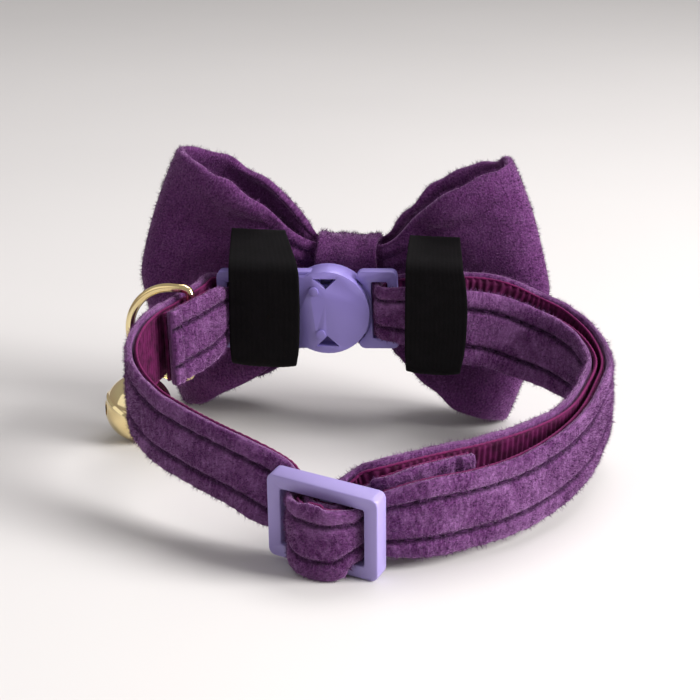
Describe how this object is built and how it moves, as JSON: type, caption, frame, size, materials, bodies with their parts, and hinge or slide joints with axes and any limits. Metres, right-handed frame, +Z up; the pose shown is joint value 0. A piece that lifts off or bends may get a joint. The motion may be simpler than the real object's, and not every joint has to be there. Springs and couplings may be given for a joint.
{
  "type": "pet bow tie collar",
  "caption": "Small pet collar: purple velvet strap with a slider, a round breakaway buckle, a bell on a ring and a velvet bow held on by elastic bands.",
  "frame": {"origin": "centre of the collar's box at the height of the surface that it stands on", "axes": "+X along the bow, +Y from the slider to the bow, +Z up"},
  "size_m": [0.0732, 0.0714, 0.0406],
  "materials": {
    "velvet": "purple velvet pile with two rows of stitches",
    "webbing": "dark magenta woven webbing with fine cross ribs",
    "slider_plastic": "satin lavender plastic",
    "buckle_plastic": "glossy lavender plastic",
    "elastic": "black woven elastic",
    "gold": "polished pale gold plating"
  },
  "bodies": {
    "root": {"velvet_strap": "velvet", "webbing": "webbing", "slider": "slider_plastic", "buckle_female": "buckle_plastic", "buckle_male": "buckle_plastic", "bow": "velvet", "knot_band": "velvet", "elastic_left": "elastic", "elastic_right": "elastic", "ring": "gold", "bell": "gold"}
  },
  "joints": []
}
